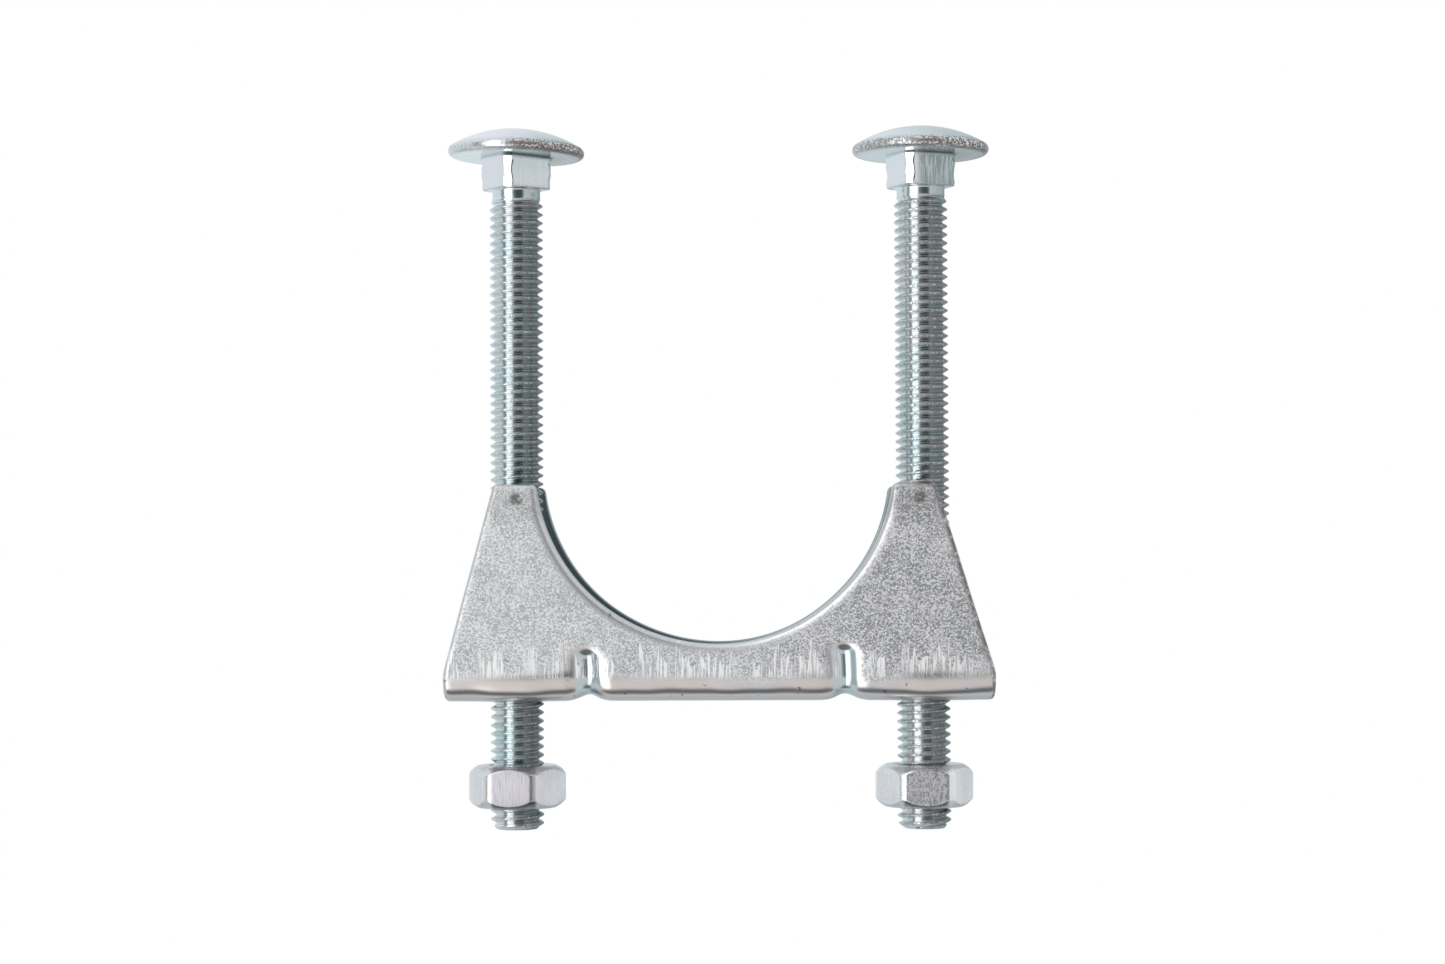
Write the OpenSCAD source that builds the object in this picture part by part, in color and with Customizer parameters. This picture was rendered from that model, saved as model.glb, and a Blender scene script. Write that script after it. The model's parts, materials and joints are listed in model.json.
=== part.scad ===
// Saddle clamp for a round tube: a folded steel saddle drawn up by two long carriage bolts and their nuts.
// Millimetres. The origin is the centre of the tube seat, +Y runs along the tube, +Z points at the bolt heads.

/* [Saddle] */
// Radius of the half-round seat, for a tube of twice this diameter
seat_r = 26; // [22:0.5:27]
// Overall width of the saddle, across the bolts
saddle_w = 80; // [78:1:90]
// Overall height of the saddle, from its base to the tops of the ears
saddle_h = 31.6; // [28:0.2:34]
// Outer width of the folded channel, along the tube
channel_w = 20; // [18:0.5:26]
// Thickness of the steel sheet
sheet_t = 2.5; // [2:0.1:3]
// Outer radius of the two folds
fold_r = 3.8; // [3.2:0.1:5]
// Steel left between the bottom of the seat and the underside of the base
seat_floor = 8.4; // [7:0.2:10]
// Width of each ear at its top
ear_w = 6.2; // [5:0.1:8]
// Diameter of the two bolt holes in the base
hole_d = 9; // [8.6:0.1:10]

/* [Stiffening grooves] */
// Distance of each groove from the middle of the saddle
groove_x = 18.65; // [15:0.05:21]
// Width of each pressed-in groove
groove_w = 3.4; // [2:0.1:5]
// Depth of each pressed-in groove
groove_depth = 0.7; // [0.3:0.1:1]
// Height of each groove above the underside of the base
groove_h = 7.4; // [6:0.1:8]

/* [Bolts] */
// Distance between the two bolts
bolt_spacing = 60; // [58:0.5:66]
// Outer diameter of the thread, as made
thread_d = 7.85; // [7.8:0.01:8]
// Pitch of the thread
pitch = 1.25; // [1:0.25:1.25]
// Length of the bolt under its head
bolt_l = 99.3; // [80:0.1:120]
// Height of the underside of the heads above the centre of the seat
head_z = 45.95; // [40:0.05:60]
// Diameter of the domed head
head_d = 20.2; // [16:0.1:21]
// Height of the domed head
head_h = 4.3; // [3.5:0.1:5]
// Side of the square neck
neck_w = 8.1; // [7.6:0.1:8.5]
// Depth of the square neck
neck_h = 4.8; // [3:0.1:5.5]
// Angle of the left bolt's neck about its axis
left_neck_turn = 36; // [0:1:90]
// Angle of the right bolt's neck about its axis
right_neck_turn = 24; // [0:1:90]

/* [Nuts] */
// Width of the nut across its flats
nut_flats = 12.9; // [12.7:0.05:13]
// Height of the nut
nut_h = 6.2; // [6:0.1:6.8]
// Height of the nut's upper face below the centre of the seat
nut_drop = 43.95; // [36:0.05:45]
// Angle of the left nut about its axis
left_nut_turn = -5.5; // [-30:0.5:30]
// Angle of the right nut about its axis
right_nut_turn = 1.5; // [-30:0.5:30]

/* [Hidden] */
$fn = 96;
eps = 0.5; // how far a cutting shape runs past the steel
steel = [0.74, 0.76, 0.78];
bright_steel = [0.78, 0.82, 0.84];
white_steel = [0.82, 0.82, 0.83];

base_z = -seat_r - seat_floor;
ear_z = base_z + saddle_h;
ear_in = sqrt(pow(seat_r, 2) - pow(ear_z, 2));
ear_out = ear_in + ear_w;
ear_corner_r = 0.9;
side_h = 4.2; // height of the straight ends of the saddle above its base
side_corner_r = 5;

thread_r = thread_d / 2;
thread_depth = 0.6 * pitch;
flank = thread_depth * tan(30);
crest = pitch / 8;
shank_r = 3.55; // plain shank between neck and thread
shank_h = 1.2; // length of that plain shank
neck_round_r = 5.05; // the square neck's corners lie on this radius
rim_r = 0.85; // half the thickness of the head's rim
end_chamfer = 0.75;
nut_bore_r = thread_r + 0.055;
nut_corner_r = 7.17; // radius that rounds the nut's corners

// Points of an arc of radius r about c, from angle a to angle b
function arc(c, r, a, b, n = 8) = [for (i = [0 : n]) c + r * [cos(a + (b - a) * i / n), sin(a + (b - a) * i / n)]];

// Front view of the saddle's right half as one closed outline, without the seat
module saddle_outline() {
    lean = atan2(saddle_w / 2 - ear_out, ear_z - base_z - side_h);
    ear_c = [ear_out - ear_corner_r / cos(lean) + ear_corner_r * tan(lean), ear_z - ear_corner_r];
    reach = side_corner_r * tan(lean / 2);
    side_c = [saddle_w / 2 - side_corner_r, base_z + side_h - reach];
    right = concat(
        [[0, base_z], [saddle_w / 2, base_z]],
        arc(side_c, side_corner_r, 0, lean),
        arc(ear_c, ear_corner_r, lean, 90),
        [[0, ear_z]]
    );
    polygon(right);
    mirror([1, 0]) polygon(right);
}

// Cross-section of a channel of outer width w with its folds at the bottom, filled solid
module channel_outline(w, bottom, r) {
    translate([-w / 2, bottom + r]) square([w, ear_z - bottom]);
    translate([-w / 2 + r, bottom]) square([w - 2 * r, 2 * r]);
    for (s = [-1, 1]) translate([s * (w / 2 - r), bottom + r]) circle(r);
}

// Runs a cross-section drawn in Y and Z along the whole width of the saddle
module along_width(w) {
    rotate([90, 0, 90]) translate([0, 0, -w / 2]) linear_extrude(w) children();
}

// Sheet that follows the channel, from depth a to depth b below its outer surface
module channel_skin(a, b, w) {
    along_width(w) difference() {
        channel_outline(channel_w - 2 * a, base_z + a, fold_r - a);
        channel_outline(channel_w - 2 * b, base_z + b, max(fold_r - b, 0.4));
    }
}

// Upright slot shape of one stiffening groove, right through the saddle from front to back
module groove_slot(x, w, h) {
    translate([x, channel_w, base_z - eps]) rotate([90, 0, 0]) linear_extrude(2 * channel_w) {
        translate([-w / 2, 0]) square([w, h + eps - w / 2]);
        translate([0, h + eps - w / 2]) circle(w / 2);
    }
}

module saddle() {
    color(steel) difference() {
        union() {
            intersection() {
                channel_skin(0, sheet_t, saddle_w);
                translate([0, channel_w, 0]) rotate([90, 0, 0]) linear_extrude(2 * channel_w) saddle_outline();
            }
            for (s = [-1, 1]) intersection() {
                channel_skin(sheet_t / 2, sheet_t + groove_depth, saddle_w);
                groove_slot(s * groove_x, groove_w + 1, groove_h + 0.5);
            }
        }
        rotate([90, 0, 0]) cylinder(r = seat_r, h = 2 * channel_w, center = true);
        for (s = [-1, 1]) translate([s * bolt_spacing / 2, 0, base_z - eps]) {
            cylinder(d = hole_d, h = sheet_t + 2 * eps);
        }
        for (s = [-1, 1]) intersection() {
            channel_skin(-eps, groove_depth, saddle_w);
            groove_slot(s * groove_x, groove_w, groove_h);
        }
    }
}

// Profile of the domed head: a thin rounded rim that runs smoothly into a dome
module head_profile() {
    a = head_d / 2 - rim_r;
    rise = head_h - rim_r;
    dome_r = (a * a + rise * rise - rim_r * rim_r) / (2 * (rise - rim_r));
    tangent = asin(a / (dome_r - rim_r));
    square([a, rim_r]);
    translate([a, rim_r]) intersection() {
        circle(rim_r);
        translate([-rim_r, -rim_r]) square(2 * rim_r);
    }
    intersection() {
        translate([0, head_h - dome_r]) circle(dome_r);
        translate([0, rim_r]) square([dome_r * sin(tangent), head_h]);
    }
}

// Profile of the shank: plain under the neck, then ridges one pitch apart, then a chamfered end
module shank_profile() {
    top = -neck_h - shank_h;
    bottom = -bolt_l;
    turns = floor((top - bottom - end_chamfer) / pitch) - 1;
    start = top - (top - bottom - end_chamfer - turns * pitch) / 2;
    root_r = thread_r - thread_depth;
    polygon(concat(
        [[0, 0], [shank_r, 0], [shank_r, top], [thread_r - thread_depth / 2, top - flank / 2]],
        [for (i = [0 : turns - 1]) let (z = start - i * pitch) each [
            [root_r, z], [thread_r, z - flank], [thread_r, z - flank - crest], [root_r, z - 2 * flank - crest]
        ]],
        [[root_r, bottom + end_chamfer], [root_r + thread_depth / 3, bottom + end_chamfer],
         [root_r - 0.3, bottom], [0, bottom]]
    ));
}

module carriage_bolt(neck_turn) {
    color(bright_steel) {
        rotate_extrude() head_profile();
        rotate_extrude() shank_profile();
        rotate([0, 0, neck_turn]) intersection() {
            translate([-neck_w / 2, -neck_w / 2, -neck_h]) cube([neck_w, neck_w, neck_h + rim_r]);
            translate([0, 0, -neck_h]) cylinder(r = neck_round_r, h = neck_h + rim_r);
        }
    }
}

module carriage_bolt_left() {
    translate([-bolt_spacing / 2, 0, head_z]) carriage_bolt(left_neck_turn);
}

module carriage_bolt_right() {
    translate([bolt_spacing / 2, 0, head_z]) carriage_bolt(right_neck_turn);
}

// Half of the nut's turned profile, from its middle to one end, which rounds off the corners
module nut_end_profile() {
    polygon([[0, 0], [8, 0], [8, nut_h / 2 - 1.6], [nut_corner_r, nut_h / 2 - 1.2], [6.95, nut_h / 2 - 0.65],
             [6.6, nut_h / 2 - 0.25], [6.1, nut_h / 2], [0, nut_h / 2]]);
}

module hex_nut(turn) {
    color(white_steel) translate([0, 0, -nut_h / 2]) difference() {
        intersection() {
            rotate([0, 0, turn]) cylinder(r = nut_flats / 2 / cos(30), h = nut_h, center = true, $fn = 6);
            cylinder(r = nut_corner_r, h = nut_h, center = true);
            union() {
                rotate_extrude() nut_end_profile();
                mirror([0, 0, 1]) rotate_extrude() nut_end_profile();
            }
        }
        cylinder(r = nut_bore_r, h = nut_h + 2 * eps, center = true);
        for (s = [-1, 1]) translate([0, 0, s * nut_h / 2]) {
            cylinder(r1 = nut_bore_r + (s < 0 ? 0.5 : -0.5), r2 = nut_bore_r + (s < 0 ? -0.5 : 0.5), h = 1, center = true);
        }
    }
}

module hex_nut_left() {
    translate([-bolt_spacing / 2, 0, -nut_drop]) hex_nut(left_nut_turn);
}

module hex_nut_right() {
    translate([bolt_spacing / 2, 0, -nut_drop]) hex_nut(right_nut_turn);
}

saddle();
carriage_bolt_left();
carriage_bolt_right();
hex_nut_left();
hex_nut_right();
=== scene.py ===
"""Looks of a pipe saddle clamp: a folded steel saddle on two long carriage bolts with a hex nut each.

Shapes are worked out in millimetres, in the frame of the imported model, and turned into metres as meshes.
"""

import json
import math

import bmesh
import bpy
import numpy as np
from mathutils import Matrix, Vector
from mathutils.geometry import delaunay_2d_cdt


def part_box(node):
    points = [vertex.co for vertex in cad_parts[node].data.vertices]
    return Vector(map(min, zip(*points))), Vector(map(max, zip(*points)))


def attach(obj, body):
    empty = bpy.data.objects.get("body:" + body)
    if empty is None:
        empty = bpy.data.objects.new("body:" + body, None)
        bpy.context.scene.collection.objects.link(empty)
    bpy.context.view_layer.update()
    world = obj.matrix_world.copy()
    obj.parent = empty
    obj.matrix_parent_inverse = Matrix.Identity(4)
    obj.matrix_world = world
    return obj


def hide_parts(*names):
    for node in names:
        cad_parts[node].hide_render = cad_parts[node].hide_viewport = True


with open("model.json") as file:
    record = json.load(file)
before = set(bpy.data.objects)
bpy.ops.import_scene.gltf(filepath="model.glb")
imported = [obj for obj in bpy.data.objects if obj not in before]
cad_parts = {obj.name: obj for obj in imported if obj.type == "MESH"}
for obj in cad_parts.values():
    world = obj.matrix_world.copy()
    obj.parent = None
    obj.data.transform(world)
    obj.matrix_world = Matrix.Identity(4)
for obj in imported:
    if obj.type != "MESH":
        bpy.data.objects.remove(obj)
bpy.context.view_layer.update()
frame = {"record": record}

MM = 0.001
MOUNTS = {m["name"]: m for m in frame["record"]["mounts"]}

# Saddle, in millimetres
SHEET_T = 2.5
FOLD_R = 3.8  # outside of the two folds
SEAT_R = MOUNTS["pipe_seat"]["dims"]["r_mm"]
EAR_W = 6.2
EAR_CORNER_R = 0.9
EAR_LEAN = 0.62  # how far the ears and the seat sit left of the base
EAR_LEAN_FROM = 3  # height above the base where that starts
EAR_LEAN_OVER = 13  # height over which it grows to the whole
SIDE_H = 4.2  # straight part of each end, above the base
SIDE_CORNER_R = 5.0
HOLE_R = 4.5
HOLE_POINTS = 64
EDGE_ROLL = 0.5  # how widely the edges are rolled over, with 1 for the edge along the seat

# Pressed grooves, in millimetres
GROOVE_X = 18.65  # half the distance between them
GROOVE_SHIFT = 0.35  # how far both sit left of the middle
GROOVE_HALF = 3.7  # half the width, with the soft shoulders
GROOVE_DEPTH = 1.25
GROOVE_BASE_DEPTH = 0.75  # in the middle of the base
GROOVE_TOP = 9.4  # height of their ends above the base, with the soft shoulders
GROOVE_UNEVEN = 0.3  # the right groove is this much taller, and the left one this much shorter
GROOVE_END = 1.35  # the shoulders are this many times narrower past the end than at the sides
GROOVE_AT = [0, 0.12, 0.3, 0.5, 0.8, 1.2, 1.6, 1.95, 2.8, GROOVE_HALF]  # distances from a groove's middle
GROOVE_STEEPNESS = [0, 0.22, 0.33, 0.36, 0.60, 0.70, 0.62, 0.38, 0.20, 0]  # its relative steepness there

# Bolts, in millimetres
BOLT_X = MOUNTS["bracket_studs"]["dims"]["spacing_x_mm"] / 2
HEAD_Z = MOUNTS["bracket_face_left"]["pos_m"][2] / MM
HEAD_R = 10.1
RIM_R = 0.85
NECK_HALF = 4.05  # half the width across the square neck's flats
NECK_BEVEL = 5.05  # distance from the axis to its cut-off corners
NECK_H = 4.8
SHANK_R = 3.55  # plain shank between neck and thread
SHANK_H = 1.2
THREAD_R = MOUNTS["bracket_studs"]["dims"]["stud_r_mm"]
PITCH = 1.25
RUN_OUT = 1.3  # length over which the thread grows to its full height
TIP_R = 2.95
TIP_SLOPE = 1.2  # of the chamfered end: radius gained for each millimetre up

# Nuts, in millimetres
NUT_HALF = 6.45  # half the width across flats
NUT_CORNER_R = 7.17
NUT_FACE_R = 5.75  # where the end face turns into the chamfer
NUT_MOUTH = 0.45  # how much wider than the thread the countersink is
NUT_CLEARANCE = 0.09

RELIEF_MM = 0.03  # height of the zinc's fine relief

# Camera and floor, in metres and degrees, and the lens in millimetres
CAMERA_PLACE = (0.00864, -0.4332, -0.01585)
CAMERA_TURNS = (1.08, 1.79, 0.24)  # to the left, up and rolled
CAMERA_LENS = 73.0
FLOOR_HALF = 3.0
FLOOR_Z = -0.16

# What differs between the two bolts and nuts. crest_z is the height of a thread crest at angle 0, the turns
# are in degrees, head_tilt is a slope and seed moves the noise. The other values set the looks.
# front sets the painted shade on a nut's front faces, dome the pale dome painted with its reflections, and
# streaks the streaks and painted shade on the neck's right faces
SIDES = {
    "left": {
        "x": -BOLT_X, "crest_z": 0.0, "neck_turn": 36.0, "nut_turn": -5.5, "head_tilt": 0.022, "seed": 3.0,
        "wear": 0.25, "streaks": 0.15, "scratch": 0.10, "front": 0.75, "dome": (0.93, 0.88, 0.94),
    },
    "right": {
        "x": BOLT_X, "crest_z": 0.4, "neck_turn": 24.0, "nut_turn": 1.5, "head_tilt": 0.0, "seed": 11.0,
        "wear": 0.75, "streaks": 0.9, "scratch": 0.6, "front": 0.1, "dome": (0.84, 0.89, 0.91),
    },
}


def node_box(node):
    """Opposite corners of a CAD node's box, in millimetres."""
    low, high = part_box(node)
    return np.array(low) / MM, np.array(high) / MM


def smoothstep(t):
    """0 below 0, 1 above 1, and a smooth step between."""
    t = np.clip(t, 0.0, 1.0)
    return t * t * (3 - 2 * t)


def bell(t):
    """1 at zero, falling smoothly to nothing at about 2 on both sides."""
    return np.exp(-t * t)


# Meshes


def weld(points, faces):
    """Joins points that lie in one place, and drops what is left of faces that have closed up."""
    keys = np.round(points, 4) + 0.0
    _, first, where = np.unique(keys, axis=0, return_index=True, return_inverse=True)
    where = where.reshape(-1)
    kept = []
    for face in faces:
        corners = [int(where[i]) for i in face]
        corners = [c for i, c in enumerate(corners) if c != corners[i - 1]]
        if len(set(corners)) > 2:
            kept.append(corners)
    return first, kept


def build(name, node, body, slot, points, faces, attributes, material):
    """One welded, smooth shaded, closed mesh, which stands for a CAD node and rides on its body."""
    first, faces = weld(points, faces)
    mesh = bpy.data.meshes.new(name)
    mesh.from_pydata((points[first] * MM).tolist(), [], faces)
    for label, values in attributes.items():
        layer = mesh.attributes.new(label, "FLOAT", "POINT")
        layer.data.foreach_set("value", np.asarray(values, np.float32)[first])
    shape = bmesh.new()
    shape.from_mesh(mesh)
    bmesh.ops.recalc_face_normals(shape, faces=shape.faces)
    for face in shape.faces:
        face.smooth = True
    shape.to_mesh(mesh)
    shape.free()
    piece = bpy.data.objects.new(name, mesh)
    bpy.context.scene.collection.objects.link(piece)
    mesh.materials.append(material)
    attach(piece, body)
    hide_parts(node)


def ring_faces(rings, columns, start=0, shift=0):
    """Quads between rings of points. At the seam they join the ring that lies shift rings further on."""
    faces = []
    for i in range(rings - 1 - shift):
        for j in range(columns):
            last = j == columns - 1
            near = start + (i + shift * last) * columns + (0 if last else j + 1)
            here = start + i * columns + j
            faces.append((here, near, near + columns, here + columns))
    for i in range(rings - 1 - shift, rings - 1):
        for j in range(columns - 1):
            here = start + i * columns + j
            faces.append((here, here + 1, here + 1 + columns, here + columns))
    return faces


def cap_faces(centre, first, columns):
    """Triangles from one point to each side of a ring."""
    return [(centre, first + j, first + (j + 1) % columns) for j in range(columns)]


# Saddle


class Saddle:
    """The pressed sheet.

    Its blank is drawn flat, as x across the clamp and s round the outside of the channel from its middle.
    """

    def __init__(self):
        low, high = node_box("saddle")
        self.base_z, self.ear_z = low[2], high[2]
        self.half_w = (high[0] - low[0]) / 2
        self.fold_s = (high[1] - low[1]) / 2 - FOLD_R
        self.wall_s = self.fold_s + math.pi / 2 * FOLD_R

    def s_at(self, z):
        """How far round the channel a height on the front wall lies."""
        return self.wall_s + z - self.base_z - FOLD_R

    def groove(self, x, s):
        """How deep the grooves press the sheet in."""
        taller = np.clip(0.25 * x, -GROOVE_UNEVEN, GROOVE_UNEVEN)
        top = self.s_at(self.base_z + GROOVE_TOP) - GROOVE_HALF / GROOVE_END + taller
        past_end = GROOVE_END * np.maximum(np.abs(s) - top, 0)
        rho = np.hypot(np.abs(x + GROOVE_SHIFT) - GROOVE_X, past_end)
        across = np.linspace(0, GROOVE_HALF, 150)
        fall = np.cumsum(np.interp(across, GROOVE_AT, GROOVE_STEEPNESS))
        slope = 1 - np.interp(rho, across, fall / fall[-1])
        deep = smoothstep(np.abs(s) / self.wall_s)
        return slope * (GROOVE_BASE_DEPTH + (GROOVE_DEPTH - GROOVE_BASE_DEPTH) * deep)

    def fold_wave(self, x, s):
        """How uneven the base is: squarer folds beside the holes, and a higher base away from them."""
        from_hole = (np.abs(x) - BOLT_X) / 5.5
        middle, fold_length = (self.fold_s + self.wall_s) / 2, FOLD_R * math.pi / 2
        round_fold = bell((np.abs(s) - middle) / (0.32 * fold_length))
        under = 1 - smoothstep((np.abs(s) - self.fold_s) / FOLD_R)
        ripple = 0.05 * np.sin(0.42 * x + 0.8) + 0.03 * np.sin(1.1 * x)
        return 0.10 * under * (1 - bell(from_hole)) - (0.22 * bell(from_hole) + ripple) * round_fold

    def fold(self, x, s, depth):
        """Points at a depth below the outer surface, with the sheet folded and its grooves pressed in."""
        a = np.abs(s)
        angle = np.clip((a - self.fold_s) / FOLD_R, 0, math.pi / 2)
        y = np.minimum(a, self.fold_s) + FOLD_R * np.sin(angle)
        z = self.base_z + FOLD_R * (1 - np.cos(angle)) + np.maximum(a - self.wall_s, 0)
        inward = depth + self.groove(x, s) + self.fold_wave(x, s)
        y = y - inward * np.sin(angle)
        z = z + inward * np.cos(angle)
        return np.stack([x - self.lean(x, z - self.base_z), -np.sign(s) * y, z], axis=-1)

    def lean(self, x, height):
        """The ears and the seat sit a little left of the base: how far, at this height above the base."""
        at_edge = smoothstep((np.abs(x) - BOLT_X) / 8)
        grown = smoothstep((height - EAR_LEAN_FROM) / EAR_LEAN_OVER)
        return EAR_LEAN * grown * (1 - 0.6 * at_edge)

    def outline(self):
        """The blank's closed edge, anticlockwise, as points and outward normals, with rounded corners."""
        ear_in = math.sqrt(SEAT_R**2 - self.ear_z**2)
        ear_out = ear_in + EAR_W
        lean = math.atan2(self.half_w - ear_out, self.ear_z - self.base_z - SIDE_H)
        top = self.s_at(self.ear_z)
        seat = self.s_at(0)
        q = EAR_CORNER_R
        side_top = self.s_at(self.base_z + SIDE_H) - SIDE_CORNER_R * math.tan(lean / 2)
        side = (self.half_w - SIDE_CORNER_R, side_top)
        outer = (ear_out - q / math.cos(lean) + q * math.tan(lean), top - q)
        inner = (math.sqrt((SEAT_R + q) ** 2 - (self.ear_z - q) ** 2), top - q)
        turn = math.atan2(inner[1] - seat, inner[0])
        parts = [
            arc(side, SIDE_CORNER_R, 0, lean, 0.4),
            arc(outer, q, lean, math.pi / 2, 0.15),
            arc(inner, q, math.pi / 2, math.pi + turn, 0.15),
            arc((0, seat), SEAT_R, turn, -math.pi / 2, 1.0, hollow=True),
        ]
        quarter = np.concatenate(parts)
        flip = np.array([-1, 1, -1, 1])
        half = np.concatenate([quarter, (quarter * flip)[::-1][1:]])
        loop = np.concatenate([half, half * -1.0])
        return subdivide(loop, 0.9)

    def edge_rows(self):
        """(distance in from the edge, depth) from the outer face over the rolled edge to the inner face."""
        outer_part = [(1.7, 0.0), (1.35, 0.02), (1.0, 0.065), (0.7, 0.14)]
        outer_part += [(0.45, 0.25), (0.22, 0.42), (0.06, 0.64), (0.0, 0.9)]
        inner_part = [(0.0, 0.35), (0.03, 0.16), (0.14, 0.03), (0.3, 0.0)]
        return outer_part + [(inward, SHEET_T - left) for inward, left in inner_part]

    def inner_points(self, loop, holes, margin):
        """Points to fill a face with: close in the grooves and folds, a millimetre apart elsewhere."""
        fine, mid, coarse = 0.2, 0.35, 1.0
        top = self.s_at(self.base_z + GROOVE_TOP) + 0.6
        xs = np.arange(-self.half_w + coarse / 2, self.half_w, coarse)
        fold = np.arange(self.fold_s - 1, self.wall_s + 1, mid)
        base = np.arange(-self.fold_s + 1.4, self.fold_s - 1.1, 0.9)
        wall = np.arange(self.wall_s + 1.2, self.s_at(self.ear_z), coarse)
        rows = np.concatenate([-wall[::-1], -fold[::-1], base, fold, wall])
        grid = np.stack(np.meshgrid(xs, rows), axis=-1).reshape(-1, 2)
        from_groove = np.abs(np.abs(grid[:, 0] + GROOVE_SHIFT) - GROOVE_X)
        beside = from_groove > GROOVE_HALF + 0.5
        grid = grid[beside | (np.abs(grid[:, 1]) > top)]
        across = np.arange(-GROOVE_HALF - 0.4, GROOVE_HALF + 0.41, fine)
        along = np.arange(-top, top, 0.25)
        middles = [side * GROOVE_X - GROOVE_SHIFT for side in (-1, 1)]
        dense = [np.stack(np.meshgrid(m + across, along), axis=-1).reshape(-1, 2) for m in middles]
        points = np.concatenate([grid] + dense)
        clear = inside(points, loop) & (distance(points, loop) > margin)
        for hole in holes:
            middle = hole[:, 0].mean()
            away = np.hypot(points[:, 0] - middle, points[:, 1])
            clear &= away > np.hypot(hole[0, 0] - middle, hole[0, 1]) + margin
        return points[clear]

    def bowed(self, points):
        """The points, with straight edges bowed a little so that no triangle along them is flat."""
        bow = 3e-5
        return points * (1 + bow * points[:, ::-1] ** 2)

    def fill(self, loop, holes, points):
        """Triangles between the edge of the blank and its holes."""
        rings = [self.bowed(ring) for ring in [loop] + holes]
        corners = [Vector(p) for p in np.concatenate(rings + [self.bowed(points)])]
        edges, start = [], 0
        for ring in rings:
            edges += [(start + i, start + (i + 1) % len(ring)) for i in range(len(ring))]
            start += len(ring)
        out, _, triangles, origin, _, _ = delaunay_2d_cdt(corners, edges, [], 0, 1e-7)
        place = np.array([v[:] for v in out])
        centre = place[np.array(triangles)].mean(axis=1)
        keep = inside(centre, rings[0])
        for hole in rings[1:]:
            keep &= ~inside(centre, hole)
        index = [o[0] for o in origin]
        return [tuple(index[i] for i in t) for t, k in zip(triangles, keep) if k]

    def mesh(self):
        """Points, faces and attributes: the rolled rims of the blank and its holes, and the two faces."""
        outline = self.outline()
        turns = np.linspace(0, 2 * math.pi, HOLE_POINTS, endpoint=False)
        circle = np.stack([np.cos(turns), np.sin(turns)], axis=-1)
        rows = self.edge_rows()
        points, faces, edge, pressed, inner = [], [], [], [], []
        count = 0
        down = np.abs(outline[:, 1])
        on_seat = np.abs(np.hypot(outline[:, 0], down - self.s_at(0)) - SEAT_R) < 0.02
        below_ear = smoothstep((self.s_at(self.ear_z) - down - 1.0) / 4)
        roll = EDGE_ROLL + (1 - EDGE_ROLL) * on_seat * below_ear

        def loops_at(offset):
            hole = circle * (HOLE_R + EDGE_ROLL * offset)
            outer = outline[:, :2] - offset * roll[:, None] * outline[:, 2:]
            return outer, [hole + (-BOLT_X, 0), hole + (BOLT_X, 0)]

        for strip in range(3):
            first = count
            for offset, depth in rows:
                outer, holes = loops_at(offset)
                ring = ([outer] + holes)[strip]
                points.append(self.fold(ring[:, 0], ring[:, 1], depth))
                width = roll.mean() if strip else 1
                edge.append(np.full(len(ring), float(bell(offset * width / 1.1))))
                pressed.append(self.groove(ring[:, 0], ring[:, 1]))
                inner.append(np.full(len(ring), float(smoothstep((depth - 0.9) / 0.8))))
                count += len(ring)
            faces += ring_faces(len(rows), len(ring), first)
        for offset, depth in (rows[0], rows[-1]):
            outer, holes = loops_at(offset)
            filled = self.inner_points(outer, holes, 0.3)
            flat = np.concatenate([outer] + holes + [filled])
            points.append(self.fold(flat[:, 0], flat[:, 1], depth))
            edge.append(bell(distance(flat, outline[:, :2]) / 0.9))
            pressed.append(self.groove(flat[:, 0], flat[:, 1]))
            inner.append(np.full(len(flat), float(depth > 0)))
            faces += [tuple(count + i for i in t) for t in self.fill(outer, holes, filled)]
            count += len(flat)
        parts = {"edge": edge, "pressed": pressed, "inner": inner}
        attributes = {label: np.concatenate(values) for label, values in parts.items()}
        return np.concatenate(points), faces, attributes


def arc(centre, radius, start, end, step, hollow=False):
    """Points and outward normals along an arc. A hollow one has the steel outside it."""
    count = max(2, math.ceil(abs(end - start) * radius / step))
    angles = np.linspace(start, end, count + 1)
    normal = np.stack([np.cos(angles), np.sin(angles)], axis=-1)
    return np.concatenate([np.array(centre) + radius * normal, normal * (-1 if hollow else 1)], axis=1)


def subdivide(loop, step):
    """The same closed loop with its long straight stretches split."""
    parts = []
    for here, following in zip(loop, np.roll(loop, -1, axis=0)):
        length = np.hypot(*(following - here)[:2])
        if length < 1e-6:
            continue
        count = max(1, round(length / step))
        parts.append(here + (following - here) * np.arange(count)[:, None] / count)
    return np.concatenate(parts)


def inside(points, loop):
    """Whether each point lies in a closed loop, by counting the loop's sides to its right."""
    result = np.zeros(len(points), bool)
    for (x1, y1), (x2, y2) in zip(loop, np.roll(loop, -1, axis=0)):
        if y1 != y2:
            crosses = (y1 > points[:, 1]) != (y2 > points[:, 1])
            side_x = (x2 - x1) * (points[:, 1] - y1) / (y2 - y1) + x1
            result ^= crosses & (points[:, 0] < side_x)
    return result


def distance(points, loop):
    """Distance from each point to the nearest side of a closed loop."""
    best = np.full(len(points), 1e9)
    for a, b in zip(loop, np.roll(loop, -1, axis=0)):
        side = b - a
        along = np.clip(((points - a) @ side) / (side @ side), 0, 1)
        best = np.minimum(best, np.hypot(*(points - a - along[:, None] * side).T))
    return best


# Threads


THREAD_AT = [0.0, 0.06, 0.14, 0.47, 0.56, PITCH / 2]  # distance along the axis from the crest
THREAD_DEPTH = [0.0, 0.0, 0.06, 0.63, 0.735, 0.76]  # and how far below the crest the thread is there
THREAD_ROWS = [-0.56, -0.47, -0.14, -0.06, 0.06, 0.14, 0.47, 0.56]


def thread_profile(along):
    """Depth of a rolled 60 degree thread below its crest, at a distance along the axis from the crest."""
    return np.interp(along, THREAD_AT, THREAD_DEPTH)


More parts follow.
